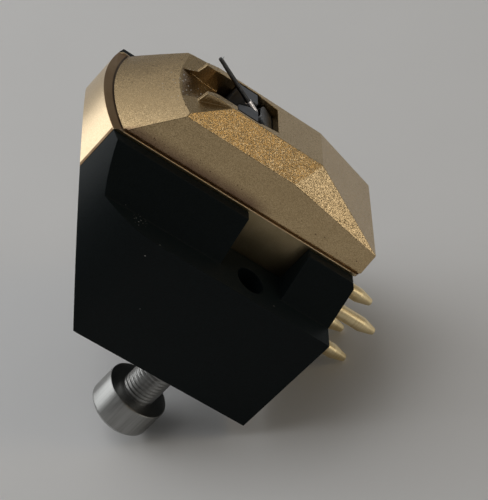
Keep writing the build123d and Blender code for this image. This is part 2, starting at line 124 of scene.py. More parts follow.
class NodeBench:
    """Bench on which the shader nodes of one material are laid out."""

    def __init__(self, name: str) -> None:
        """Starts a material with its shader and its Object coordinates.

        Args:
            name: name of the material.
        """
        self.material: bpy.types.Material = bpy.data.materials.new(name)
        self.material.use_nodes = True
        self.tree: bpy.types.NodeTree = self.material.node_tree
        self.shader: bpy.types.Node = self.tree.nodes["Principled BSDF"]
        self.coords: Socket = self.add("TexCoord", {}).outputs["Object"]

    def link(self, source: Socket, target: Socket) -> None:
        """Joins an output to an input."""
        self.tree.links.new(source, target)

    def add(self, kind: str, entries: dict[str | int, Entry], **settings: str) -> bpy.types.Node:
        """Adds a node.

        Args:
            kind: kind of the node, as its type spells it after ShaderNode.
            entries: output or plain value by input.
            settings: value by setting.

        Returns:
            The node.
        """
        node = self.tree.nodes.new(f"ShaderNode{kind}")
        for name, choice in settings.items():
            setattr(node, name, choice)
        for key, entry in entries.items():
            if isinstance(entry, Socket):
                self.link(entry, node.inputs[key])
            else:
                node.inputs[key].default_value = entry
        return node

    def feed(self, socket: str, source: Socket) -> None:
        """Joins an output to one of the shader's inputs."""
        self.link(source, self.shader.inputs[socket])

    def fix(self, values: dict[str, float]) -> None:
        """Sets plain values on the shader's own sockets, given by their names."""
        for socket, value in values.items():
            self.shader.inputs[socket].default_value = value

    def mapped(self, stretch: Triple, turn: Triple) -> Socket:
        """Turns the Object coordinates by degrees about each axis, and stretches them by a factor along each."""
        angles = tuple(radians(angle) for angle in turn)
        return self.add("Mapping", {"Vector": self.coords, "Rotation": angles, "Scale": stretch}).outputs["Vector"]

    def noise(self, size: float, detail: float = 2.0, vector: Socket | None = None) -> Socket:
        """Lays a noise whose lumps are about one size.

        Args:
            size: size of a lump, in millimetres.
            detail: number of finer octaves.
            vector: coordinates, where they aren't the plain ones.

        Returns:
            The noise's height, from 0 to 1.
        """
        entries = {"Vector": vector or self.coords, "Scale": 1 / (size * MM), "Detail": detail}
        return self.add("TexNoise", entries).outputs["Fac"]

    def cells(self, size: float) -> bpy.types.Node:
        """Lays a Voronoi pattern with cells of a size in millimetres."""
        return self.add("TexVoronoi", {"Vector": self.coords, "Scale": 1 / (size * MM)})

    def draw(self, cells: bpy.types.Node, channel: str) -> Socket:
        """Draws a random value from 0 to 1 for each cell, from a channel of the cells' random colour."""
        return self.add("SeparateColor", {"Color": cells.outputs["Color"]}).outputs[channel]

    def specks(self, scatter: Scatter) -> Socket:
        """Scatters round specks.

        Args:
            scatter: their sizes and their share.

        Returns:
            A mask, 1 inside a speck.
        """
        cells = self.cells(scatter.spacing)
        reach = scatter.radius / scatter.spacing
        near = self.span(cells.outputs["Distance"], scatter.core * reach, reach, 1, 0)
        chosen = self.span(self.draw(cells, "Red"), 1 - scatter.share, 1 - scatter.firm * scatter.share, 0, 1)
        return self.product(near, chosen)

    def span(self, value: Socket, low: float, high: float, to_low: float, to_high: float) -> Socket:
        """Maps a value from the range low to high to the range to_low to to_high, clamped."""
        entries = {"Value": value, "From Min": low, "From Max": high, "To Min": to_low, "To Max": to_high}
        return self.add("MapRange", entries).outputs["Result"]

    def product(self, first: Socket, second: Socket) -> Socket:
        """Multiplies two values."""
        return self.add("Math", {0: first, 1: second}, operation="MULTIPLY").outputs[0]

    def blend(self, factor: Socket, first: Tone | Socket, second: Tone | Socket) -> Socket:
        """Mixes two colours, or outputs that give them: the factor is 0 for the first and 1 for the second."""
        # a mix of colours has its factor at input 0, the colours at 6 and 7 and the result at output 2
        one, other = ((*colour, 1) if isinstance(colour, tuple) else colour for colour in (first, second))
        return self.add("Mix", {0: factor, 6: one, 7: other}, data_type="RGBA").outputs[2]

    def band(self, axis: str, full: float, faded: float) -> Socket:
        """Marks one side of a level along an axis, where X counts from the middle to both sides.

        Args:
            axis: X, Y or Z.
            full: level at which the mark is full, in millimetres.
            faded: level at which it has faded out, in millimetres.

        Returns:
            A mask, 1 on the full side.
        """
        level = self.add("SeparateXYZ", {"Vector": self.coords}).outputs[axis]
        if axis == "X":
            level = self.add("Math", {0: level}, operation="ABSOLUTE").outputs[0]
        low, high = sorted((full, faded))
        ends = (1, 0) if full < faded else (0, 1)
        return self.span(level, low * MM, high * MM, *ends)

    def zone(self, centre: Triple, inner: float, outer: float) -> Socket:
        """Marks a round zone about a point.

        Args:
            centre: the point, in millimetres.
            inner: radius up to which the mark is full, in millimetres.
            outer: radius at which it has faded out, in millimetres.

        Returns:
            A mask, 1 inside the zone.
        """
        point = tuple(value * MM for value in centre)
        distance = self.add("VectorMath", {0: self.coords, 1: point}, operation="DISTANCE").outputs["Value"]
        return self.span(distance, inner * MM, outer * MM, 1, 0)

    def flakes(self, size: float, tilt: float) -> tuple[Socket, Socket]:
        """Breaks the surface into flakes, each with a random tone and a random tilt of its normal.

        Args:
            size: size of a flake, in millimetres.
            tilt: most that the normal moves along each axis.

        Returns:
            The flakes' tone, from 0 to 1, and their normal.
        """
        cells = self.cells(size)
        scale, offset = (2 * tilt,) * 3, (-tilt,) * 3
        lean = self.add("VectorMath", {0: cells.outputs["Color"], 1: scale, 2: offset}, operation="MULTIPLY_ADD")
        normal = self.add("NewGeometry", {}).outputs["Normal"]
        bent = self.add("VectorMath", {0: normal, 1: lean.outputs["Vector"]}, operation="ADD")
        unit = self.add("VectorMath", {0: bent.outputs["Vector"]}, operation="NORMALIZE")
        return self.draw(cells, "Green"), unit.outputs["Vector"]

    def relief(self, height: Socket, depth: float) -> bpy.types.Node:
        """Roughens the surface by a height pattern.

        Args:
            height: the pattern, from 0 to 1.
            depth: height of the pattern's full range, in millimetres.

        Returns:
            The node that bends the normal.
        """
        node = self.add("Bump", {"Height": height, "Distance": depth * MM})
        self.feed("Normal", node.outputs["Normal"])
        return node


@dataclass(frozen=True)
class Finish:
    """A finish whose grain runs between two tones of colour and two of roughness."""

    name: str
    deep: Tone
    pale: Tone
    smooth: float
    rough: float
    grain: float
    depth: float = 0.0
    fixed: ClassVar[dict[str, float]] = {}

    def base(self) -> tuple[NodeBench, Socket]:
        """Lays the grain, and joins the roughness and the relief to it.

        Returns:
            The bench and the colour that runs with the grain.
        """
        bench = NodeBench(self.name)
        grain = self.pattern(bench)
        bench.feed("Roughness", bench.span(grain, *GRAIN, self.smooth, self.rough))
        if self.depth:
            bench.relief(grain, self.depth)
        return bench, bench.blend(bench.span(grain, *GRAIN, 0, 1), self.deep, self.pale)

    def pattern(self, bench: NodeBench) -> Socket:
        """The grain: an even noise of the grain's size."""
        return bench.noise(self.grain)

    def make(self) -> bpy.types.Material:
        """Makes the finish, with its fixed values.

        Returns:
            The material.
        """
        bench, colour = self.base()
        bench.feed("Base Color", colour)
        bench.fix(self.fixed)
        return bench.material


@dataclass(frozen=True)
class PaintedShade:
    """Painted shade: a darker, softly mottled tone laid where all of its bands meet, inside its zone if it has one.
    """

    tone: Tone
    strength: float
    bands: tuple[tuple[str, float, float], ...]
    zone: Zone | None = None
    patch: float = 1.5
    patch_span: tuple[float, float] = (0.3, 0.6)
    weakest: float = 0.8

    def over(self, bench: NodeBench, colour: Socket) -> Socket:
        """Lays the painted shade's tone over a colour.

        Args:
            bench: the material's bench.
            colour: the colour below.

        Returns:
            The colour with the painted shade laid over it.
        """
        # mask of the painted shade: mottled, kept to its bands and to its zone
        painted_shade_patches = bench.noise(self.patch, detail=3)
        mask = bench.span(painted_shade_patches, *self.patch_span, self.weakest * self.strength, self.strength)
        for band in self.bands:
            mask = bench.product(mask, bench.band(*band))
        if self.zone:
            mask = bench.product(mask, bench.zone(*self.zone))
        return bench.blend(mask, colour, self.tone)


@dataclass(frozen=True)
class BlastedGold(Finish):
    """Gold anodising over blasted metal: sparkling flakes, soft clouds, dark pits, painted shade along some margins,
    and dust.
    """

    flake: float = 0.036
    tilt: float = 0.13
    cloud: float = 2.5
    cloud_span: tuple[float, float] = (0.35, 0.7)
    cloud_most: float = 0.35
    pit: Tone = (0.07, 0.04, 0.018)
    pits: Scatter = Scatter(spacing=0.5, radius=0.06, share=0.18)
    painted_shades: tuple[PaintedShade, ...] = ()
    dust: Tone = (0.75, 0.72, 0.68)
    dust_specks: Scatter = Scatter(spacing=0.24, radius=0.06, share=0.6)
    dust_zone: Zone | None = None

    def make(self) -> bpy.types.Material:
        """Makes the gold, with its flakes, clouds, pits, painted shade and dust.

        Returns:
            The material.
        """
        bench = NodeBench(self.name)
        tone, normal = bench.flakes(self.flake, self.tilt)
        grain = self.pattern(bench)
        bench.link(normal, bench.relief(grain, self.depth).inputs["Normal"])
        bench.feed("Roughness", bench.span(grain, *GRAIN, self.smooth, self.rough))
        clouds = bench.span(bench.noise(self.cloud, detail=3), *self.cloud_span, 0, self.cloud_most)
        clouded = bench.blend(clouds, bench.blend(tone, self.deep, self.pale), self.deep)
        colour = bench.blend(bench.specks(self.pits), clouded, self.pit)
        # painted shade and painted dark reflections, laid over the gold's own colour
        for painted_shade in self.painted_shades:
            colour = painted_shade.over(bench, colour)
        if self.dust_zone:
            dust = bench.product(bench.specks(self.dust_specks), bench.zone(*self.dust_zone))
            colour = bench.blend(dust, colour, self.dust)
            bench.feed("Metallic", bench.span(dust, 0, 1, 1, 0))
        else:
            bench.fix({"Metallic": 1.0})
        bench.feed("Base Color", colour)
        return bench.material


@dataclass(frozen=True)
class SatinBlack(Finish):
    """Satin black plastic with a fine grain and dust: strewn, settled in one place, and single spots by strength."""

    dust: Tone = (0.62, 0.62, 0.6)
    strewn: Scatter = Scatter(spacing=1.3, radius=0.045, share=0.02)
    settled: Scatter = Scatter(spacing=0.11, radius=0.034, share=0.45)
    settled_zone: Zone = ((7.0, -8.6, 8.9), 0.2, 0.6)
    spots: tuple[tuple[Triple, float], ...] = ()
    spot_core: float = 0.02
    spot_radius: float = 0.055
    gloss: float = 0.11

    def make(self) -> bpy.types.Material:
        """Makes the black, with its dust.

        Returns:
            The material.
        """
        bench, colour = self.base()
        colour = bench.blend(bench.specks(self.strewn), colour, self.dust)
        for place, strength in self.spots:
            spot = bench.zone(place, self.spot_core, self.spot_radius)
            colour = bench.blend(bench.span(spot, 0, 1, 0, strength), colour, self.dust)
        settled = bench.product(bench.specks(self.settled), bench.zone(*self.settled_zone))
        bench.feed("Base Color", bench.blend(settled, colour, self.dust))
        bench.fix({"Specular IOR Level": self.gloss})
        return bench.material


@dataclass(frozen=True)
class Insulation(Finish):
    """Smooth coloured insulation of a lead."""

    smooth: float = 0.35
    rough: float = 0.5
    grain: float = 0.15
    depth: float = 0.002


@dataclass(frozen=True)
class Metal(Finish):
    """Bare or plated metal with an even grain."""

    fixed: ClassVar[dict[str, float]] = {"Metallic": 1.0}


@dataclass(frozen=True)
class DrawnMetal(Metal):
    """Metal with the fine lines of turning, drawing or grinding across one direction."""

    turn: Triple = (0, 0, 0)
    stretch: Triple = (1.0, 0.05, 1.0)

    def pattern(self, bench: NodeBench) -> Socket:
        """The grain: a noise drawn out into lines."""
        return bench.noise(self.grain, 3, bench.mapped(self.stretch, self.turn))


@dataclass(frozen=True)
class Gem(Finish):
    """Clear polished stone."""

    fixed: ClassVar[dict[str, float]] = {"Transmission Weight": 0.85, "IOR": 2.4}


@dataclass(frozen=True)
class Winding(Metal):
    """Fine enamelled wire, wound in turns side by side along an arm."""

    turn: Triple = (0, 0, 0)
    sway: float = 0.4
    band_width: ClassVar[float] = 0.314

    def pattern(self, bench: NodeBench) -> Socket:
        """The grain: bands across the arm, one for each turn of wire.

        Args:
            bench: the material's bench.

        Returns:
            The grain, from 0 to 1; at a scale of 1 a band of the wave has the band width.
        """
        turned_coords = bench.mapped((1, 1, 1), self.turn)
        scale = self.band_width / (self.grain * MM)
        entries = {"Vector": turned_coords, "Scale": scale, "Distortion": self.sway}
        return bench.add("TexWave", entries, bands_direction="X").outputs["Fac"]


# painted dark reflection on the nose plate's upper edge, the brow, and on the frame's top inside its sides
PAINTED_BROW_REFLECTION = PaintedShade((0.30, 0.19, 0.10), 0.9, (("Z", 11.84, 11.80), ("X", 4.12, 4.16)))
# painted shade on the frame's side walls below its rim, where they show in the nut slots
PAINTED_FRAME_SIDE_SHADE = PaintedShade((0.21, 0.165, 0.08), 0.75, (("X", 4.20, 4.17), ("Z", 11.98, 12.02)))
# painted shade along the nose plate's side edges, standing in for the dark side of a step that isn't modelled
PAINTED_PLATE_EDGE_SHADE = PaintedShade((0.09, 0.05, 0.023), 0.95, (("X", 4.07, 4.02), ("Y", -12.6, -12.4), ("Z", 11.78, 11.84)))
# painted shadow line on the frame's top, along the foot of the cover around the nose
PAINTED_COVER_FOOT_SHADOW = PaintedShade((0.05, 0.03, 0.016), 0.95, (("Z", 12.0, 11.96), ("Y", -12.4, -12.25)),
                   ((0.0, -4.002, 12.03), 9.29, 9.36))
# painted dark reflection along the lower edge of the cover's side facets, above the seam
PAINTED_SEAM_REFLECTION = PaintedShade((0.2, 0.125, 0.08), 0.95, (("Z", 12.3, 13.15), ("Y", -2.6, -0.8), ("X", 4.0, 3.75)))
# painted shade in the recess of the channel's mouth at the cover's front
PAINTED_MOUTH_SHADE = PaintedShade((0.13, 0.07, 0.022), 0.85,
              (("X", 1.45, 1.6), ("Y", -9.97, -10.06), ("Y", -9.5, -8.6), ("Z", 14.9, 15.0)))


class Palette(Enum):
    """Every finish on the cartridge."""

    BLACK = SatinBlack("satin_black", (0.0044, 0.0071, 0.0077), (0.0068, 0.0107, 0.0114), 0.42, 0.54, 0.1, 0.008,
                       spots=(((8.25, -7.35, 7.72), 1.0), ((8.25, -5.06, 4.08), 0.2), ((8.14, -7.09, 8.9), 0.3),
                              ((7.5, 1.85, 8.9), 0.25)))
    BLOCK = SatinBlack("terminal_black", (0.009, 0.009, 0.009), (0.016, 0.015, 0.014), 0.5, 0.62, 0.1, 0.004)
    # frame_gold and cover_gold carry painted shade and painted dark reflections in their colour, from the constants
    # above
    FRAME = BlastedGold("frame_gold", (0.54, 0.41, 0.25), (0.70, 0.56, 0.38), 0.32, 0.40, 0.05, 0.0004, tilt=0.015,
                        painted_shades=(PAINTED_BROW_REFLECTION, PAINTED_FRAME_SIDE_SHADE, PAINTED_PLATE_EDGE_SHADE, PAINTED_COVER_FOOT_SHADOW))
    COVER = BlastedGold("cover_gold", (0.42, 0.30, 0.157), (0.66, 0.50, 0.292), 0.24, 0.32, 0.05, 0.0012,
                        painted_shades=(PAINTED_SEAM_REFLECTION, PAINTED_MOUTH_SHADE), dust_zone=((0.2, -9.6, 15.0), 1.2, 2.0))
    YOKE = DrawnMetal("yoke_grey", (0.12, 0.125, 0.13), (0.2, 0.205, 0.21), 0.4, 0.55, 0.12, 0.002,
                      stretch=(1.0, 0.08, 0.08))
    NICKEL = Metal("nickel_plate", (0.42, 0.41, 0.39), (0.55, 0.54, 0.51), 0.22, 0.34, 0.2)
    POLE = Metal("plain_steel", (0.36, 0.35, 0.33), (0.5, 0.49, 0.47), 0.3, 0.45, 0.1)
    SCREW = DrawnMetal("turned_steel", (0.25, 0.25, 0.243), (0.325, 0.325, 0.317), 0.28, 0.38, 0.16,
                       stretch=(1.0, 1.0, 0.05))
    WIRE = DrawnMetal("spring_wire", (0.45, 0.45, 0.45), (0.6, 0.6, 0.6), 0.2, 0.3, 0.05,
                      turn=(24, 0, 0))
    PIN = DrawnMetal("gold_plate", (0.84, 0.66, 0.36), (0.97, 0.82, 0.52), 0.34, 0.46, 0.1, 0.0004,
                     stretch=(0.05, 1.0, 0.05))
    SLEEVE = DrawnMetal("bright_aluminium", (0.72, 0.66, 0.64), (0.88, 0.84, 0.82), 0.2, 0.32, 0.05, 0.0004,
                        turn=(24, 0, 0))
    ROD = DrawnMetal("dark_rod", (0.035, 0.035, 0.036), (0.09, 0.09, 0.088), 0.25, 0.36, 0.06, 0.0006,
                     turn=(24, 0, 0), stretch=(1.0, 0.08, 1.0))
    DIAMOND = Gem("diamond", (0.86, 0.88, 0.9), (0.97, 0.98, 1.0), 0.02, 0.05, 0.05)
    RUBBER = Finish("damper_rubber", (0.015, 0.015, 0.015), (0.03, 0.029, 0.028), 0.7, 0.85, 0.05, 0.002)
    BOARD = Finish("lead_board", (0.02, 0.11, 0.045), (0.05, 0.2, 0.09), 0.4, 0.55, 0.15, 0.002)
    COPPER_RIGHT = Winding("copper_right", (0.3, 0.11, 0.05), (0.8, 0.4, 0.2), 0.25, 0.35, 0.03, 0.008,
                           turn=(0, 45, 0))
    COPPER_LEFT = Winding("copper_left", (0.3, 0.11, 0.05), (0.8, 0.4, 0.2), 0.25, 0.35, 0.03, 0.008,
                          turn=(0, -45, 0))
    RED = Insulation("red_insulation", (0.42, 0.015, 0.015), (0.58, 0.03, 0.03))
    GREEN = Insulation("green_insulation", (0.015, 0.22, 0.05), (0.03, 0.32, 0.07))
    WHITE = Insulation("white_insulation", (0.68, 0.68, 0.65), (0.8, 0.8, 0.78))
    BLUE = Insulation("blue_insulation", (0.015, 0.04, 0.32), (0.03, 0.08, 0.45))

    def material(self) -> bpy.types.Material:
        """The finish's material, made on its first use."""
        return bpy.data.materials.get(self.value.name) or self.value.make()


@dataclass(frozen=True)
class Spindle:
    """An axis that rings of points are set around, with its place in millimetres."""

    place: Triple
    along: Triple

    def rings(self, radius: np.ndarray, height: np.ndarray, angle: np.ndarray) -> np.ndarray:
        """Sets rings around the axis.

        A point lies at place + along * height + (across * cos angle + beside * sin angle) * radius.

        Args:
            radius: radius at each ring and angle, in millimetres.
            height: height at each ring and angle, in millimetres.
            angle: angle of each point of a ring.

        Returns:
            The points, by ring and angle, in metres.
        """
        along = np.array(self.along, float)
        along /= np.linalg.norm(along)
        aside = np.array((1.0, 0, 0))
        across = aside - along * (aside @ along)
        across /= np.linalg.norm(across)
        beside = np.cross(along, across)
        outward = np.cos(angle)[:, None] * across + np.sin(angle)[:, None] * beside
        points = np.array(self.place) + height[..., None] * along + radius[..., None] * outward
        return points * MM


def skin(name: str, rings: np.ndarray) -> bpy.types.Object:
    """Closes a stack of rings into a mesh: four-sided faces between rings, and a fan to a pole at each end.

    Args:
        name: name of the piece.
        rings: points by ring and angle, in metres; outward is to the right of the stack's direction.

    Returns:
        The piece, at the origin.
    """
    count, turns = rings.shape[:2]
    poles = rings[[0, -1]].mean(axis=1)
    points = np.concatenate((rings.reshape(-1, 3), poles))
    index = np.arange(count * turns).reshape(count, turns)
    onward = np.roll(index, -1, axis=1)
    walls = np.stack((index[:-1], onward[:-1], onward[1:], index[1:]), axis=-1).reshape(-1, 4)
    first = np.stack((np.full(turns, count * turns), onward[0], index[0]), axis=-1)
    last = np.stack((np.full(turns, count * turns + 1), index[-1], onward[-1]), axis=-1)
    mesh = bpy.data.meshes.new(name)
    mesh.from_pydata(points.tolist(), [], walls.tolist() + first.tolist() + last.tolist())
    mesh.shade_smooth()
    mesh.set_sharp_from_angle(angle=radians(SHARP))
    piece = bpy.data.objects.new(name, mesh)
    bpy.context.scene.collection.objects.link(piece)
    return piece


def eased(corners: Corners, radius: float) -> np.ndarray:
    """Rounds the corners of a profile: each one becomes a curve between points a radius away on its two sides.

    The curve is the corner's quadratic Bezier: (1-t)^2 before + 2t(1-t) corner + t^2 after.

    Args:
        corners: points of the profile, as radius and height in millimetres.
        radius: distance from a corner to the ends of its curve, in millimetres.

    Returns:
        The points of the rounded profile.
    """
    points = np.array(corners, float)
    before, middle, after = points[:-2], points[1:-1], points[2:]

    def towards(end: np.ndarray) -> np.ndarray:
        """Finds the points near the corners, on the way to an end.

        Args:
            end: the end for each corner.

        Returns:
            The points.
        """
        way = end - middle
        length = np.linalg.norm(way, axis=1, keepdims=True)
        return middle + way * np.minimum(radius / length, CORNER_SHARE)

    t = np.linspace(0, 1, CORNER_STEPS + 1)[None, :, None]
    start, stop = towards(before)[:, None], towards(after)[:, None]
    curves = (1 - t) ** 2 * start + 2 * t * (1 - t) * middle[:, None] + t**2 * stop
    return np.concatenate((points[:1], curves.reshape(-1, 2), points[-1:]))


def turned(
    name: str, node: str, spindle: Spindle, corners: Corners, ease: float, turns: int = 48
) -> bpy.types.Object:
    """Turns a profile about an axis, with eased corners.

    Args:
        name: name of the piece.
        node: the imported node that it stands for.
        spindle: the axis.
        corners: points as radius and height, in millimetres, along the axis from pole to pole.
        ease: distance from a corner to the ends of its curve, in millimetres.
        turns: number of points of a ring.

    Returns:
        The piece.
    """
    profile = eased(corners, ease)[1:-1]
    angle = np.linspace(0, 2 * pi, turns, endpoint=False)
    flat = np.ones(turns)
    piece = skin(name, spindle.rings(profile[:, :1] * flat, profile[:, 1:] * flat, angle))
    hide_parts(node)
    return piece


def fold_angles(mesh: bpy.types.Mesh) -> np.ndarray:
    """Works out the angle between the two faces at each edge of a closed mesh.

    Args:
        mesh: the mesh.

    Returns:
        The angles by edge, in degrees.
    """
    edge = np.empty(len(mesh.loops), int)
    mesh.loops.foreach_get("edge_index", edge)
    size = np.empty(len(mesh.polygons), int)
    mesh.polygons.foreach_get("loop_total", size)
    normal = np.empty(3 * len(mesh.polygons))
    mesh.polygons.foreach_get("normal", normal)
    face = np.repeat(np.arange(len(size)), size)[np.argsort(edge, kind="stable")].reshape(-1, 2)
    pair = normal.reshape(-1, 3)[face]
    return np.degrees(np.arccos(np.clip((pair[:, 0] * pair[:, 1]).sum(axis=1), -1, 1)))


def joined(mesh: bpy.types.Mesh, merge: float = MERGE, flat: float = 0.0, cuts: Cuts = ()) -> None:
    """Merges a mesh's points that lie together, and joins its faces where they lie in one plane.

    Args:
        mesh: the mesh.
        merge: distance within which points are merged, in millimetres.
        flat: angle up to which faces count as in one plane, in degrees; none are joined at 0.
        cuts: planes that the faces are cut along, each by a point in millimetres and a normal.
    """
    shape = bmesh.new()
    shape.from_mesh(mesh)
    bmesh.ops.remove_doubles(shape, verts=shape.verts, dist=merge * MM)
    for point, normal in cuts:
        everything = [*shape.verts, *shape.edges, *shape.faces]
        centre = Vector(point) * MM
        bmesh.ops.bisect_plane(shape, geom=everything, plane_co=centre, plane_no=normal, dist=CUT_REACH)
    if flat:
        bmesh.ops.dissolve_limit(shape, angle_limit=radians(flat), verts=shape.verts, edges=shape.edges)
    shape.to_mesh(mesh)
    shape.free()


def places(mesh: bpy.types.Mesh) -> np.ndarray:
    """Reads a mesh's points.

    Args:
        mesh: the mesh.

    Returns:
        The points, in millimetres.
    """
    points = np.empty(3 * len(mesh.vertices))
    mesh.vertices.foreach_get("co", points)
    return points.reshape(-1, 3) / MM


def softened(
    node: str,
    name: str,
    edge: float,
    crease: float = 20.0,
    shortest: float = MERGE,
    change: Callable[[np.ndarray], np.ndarray] | None = None,
    cuts: Cuts = (),
    parts: Cuts = (),
    where: Callable[[np.ndarray], np.ndarray] | None = None,
    clamp: bool = True,
) -> bpy.types.Object:
    """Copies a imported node, merges its triangles and eases its hard edges.

    Args:
        node: the node.
        name: name of the piece.
        edge: width of the eased edges, in millimetres.
        crease: angle from which the shading breaks at an edge, in degrees.
        shortest: distance within which points are merged, so that no edge is shorter, in millimetres.
        change: moves the points first, where they aren't to stay as they are.
        cuts: planes that the faces are cut along before that.
        parts: planes that part the eased edges from others in line with them.
        where: marks the points whose edges are eased, where not all hard edges are.
        clamp: whether a short edge narrows the eased edges all over the piece.

    Returns:
        The piece, which stands for the node.
    """
    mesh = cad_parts[node].data.copy()
    mesh.name = name
    joined(mesh, cuts=cuts)
    if change:
        mesh.vertices.foreach_set("co", (change(places(mesh)) * MM).ravel())
    joined(mesh, flat=FLAT)
    joined(mesh, merge=shortest, cuts=parts)
    custom = mesh.attributes.get("custom_normal")
    if custom is not None:
        mesh.attributes.remove(custom)
    mesh.shade_smooth()
    mesh.set_sharp_from_angle(angle=radians(crease))
    chosen = fold_angles(mesh) > HARD
    if where:
        ends = np.empty(2 * len(mesh.edges), int)
        mesh.edges.foreach_get("vertices", ends)
        chosen &= where(places(mesh))[ends.reshape(-1, 2)].all(axis=1)
    weight = mesh.attributes.new("bevel_weight_edge", "FLOAT", "EDGE")
    weight.data.foreach_set("value", chosen.astype(np.float32))
    piece = bpy.data.objects.new(name, mesh)
    bpy.context.scene.collection.objects.link(piece)
    bevel = piece.modifiers.new("eased_edges", "BEVEL")
    bevel.limit_method = "WEIGHT"
    bevel.width = edge * MM
    bevel.segments = EDGE_STEPS
    bevel.use_clamp_overlap = clamp
    bevel.harden_normals = True
    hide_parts(node)
    return piece


def seat(piece: bpy.types.Object, finish: Palette, body: Body) -> None:
    """Gives a piece its finish, and lets it ride on a body.

    Args:
        piece: the piece.
        finish: its finish.
        body: the body.
    """
    piece.data.materials.clear()
    piece.data.materials.append(finish.material())
    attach(piece, body.value)
    log.info("piece %s rides on %s", piece.name, body.value)


def paint(**finishes: Palette) -> None:
    """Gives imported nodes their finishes.

    Args:
        finishes: finish by node.
    """
    for node, finish in finishes.items():
        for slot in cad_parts[node].material_slots:
            slot.material = finish.material()
        log.info("node %s is painted %s", node, finish.value.name)


@dataclass
class Housing:
    """The black housing."""

    edge: float = 0.04
    shortest: float = 0.05

    def build(self) -> None:
        """Eases the housing's edges and dresses it."""
        shell = softened("top_housing", "housing_shell", self.edge, shortest=self.shortest, clamp=False)
        seat(shell, Palette.BLACK, Body.CARTRIDGE)


@dataclass
class GoldShell:
    """The gold frame with its nose plate, and the faceted cover on it."""

    cover_edge: float = 0.045
    cover_crease: float = 6.0
    rim_edge: float = 0.06
    rim_start: float = -12.25
    rim_end: float = 5.7
    frame_top: float = 12.05
    frame_half: float = 4.22
    nose_radius: float = 9.848
    nose_centre: float = -4.002
    brow_depth: float = 0.61
    brow_drop: float = 0.19
    brow_steps: int = 14
    corner_margin: float = 0.012
    corner_slack: float = 0.004
    rim_slack: float = 0.01

    @property
    def reach(self) -> float:
        """Angle from the middle of the nose to its corners, in radians."""
        return float(np.arcsin(self.frame_half / self.nose_radius))

    def brow_cuts(self) -> Cuts:
        """Planes that part the nose plate's upper edge from the top behind it.

        One stands along each chord of the arc that lies the brow's depth inside the plate's front: its normal points
        out at the chord's middle angle, radius * cos(half a step) from the centre. Two stand along the radius at each
        corner and just past it.

        Returns:
            The planes.
        """
        step = 2 * self.reach / self.brow_steps
        middle = -self.reach + step * (np.arange(self.brow_steps) + 0.5)
        normal = np.stack((np.sin(middle), -np.cos(middle), 0 * middle), axis=-1)
        foot = normal * (self.nose_radius - self.brow_depth) * np.cos(step / 2) + (0, self.nose_centre, 0)
        end = np.array((-self.corner_margin, 0, 2 * self.reach, 2 * self.reach + self.corner_margin)) - self.reach
        across = np.stack((np.cos(end), np.sin(end), 0 * end), axis=-1)
        points = np.concatenate((foot, np.tile((0, self.nose_centre, 0), (len(end), 1))))
        normals = np.concatenate((normal, across))
        return tuple(zip(map(tuple, points.tolist()), map(tuple, normals.tolist())))

    def browed(self, points: np.ndarray) -> np.ndarray:
        """Slants the nose plate's upper edge forward.

        No point stays above the frame's top less drop * (depth - distance to the plate's front) / depth, and none
        moves behind the brow or past its corners.

        Args:
            points: all points, in millimetres.

        Returns:
            The moved points.
        """
        x, y, z = points.T
        inside = self.nose_radius - np.hypot(x, y - self.nose_centre)
        angle = np.arctan2(np.abs(x), self.nose_centre - y)
        most = self.frame_top - self.brow_drop * np.clip(1 - inside / self.brow_depth, 0, 1)
        lowered = np.where(angle < self.reach + self.corner_slack, np.minimum(z, most), z)
        return np.stack((x, y, lowered), axis=-1)

    def rim(self, points: np.ndarray) -> np.ndarray:
        """Marks the points on the straight upper edges of the frame's two sides.

        Args:
            points: all points, in millimetres.

        Returns:
            A mask, true on those edges.
        """
        x, y, z = points.T
        slack = self.rim_slack
        along = (y > self.rim_start - slack) & (y < self.rim_end + slack)
        return along & (np.abs(x) > self.frame_half - slack) & (z > self.frame_top - slack)

    def build(self) -> None:
        """Eases the edges of frame and cover and dresses them."""
        ends = tuple(((0, end, 0), (0, 1, 0)) for end in (self.rim_start, self.rim_end))
        base = softened("base_frame", "gold_frame", self.rim_edge, change=self.browed, cuts=self.brow_cuts(),
                        parts=ends, where=self.rim, clamp=False)
        seat(base, Palette.FRAME, Body.CARTRIDGE)
        cover = softened("bottom_cover", "gold_cover", self.cover_edge, self.cover_crease)
        seat(cover, Palette.COVER, Body.CARTRIDGE)


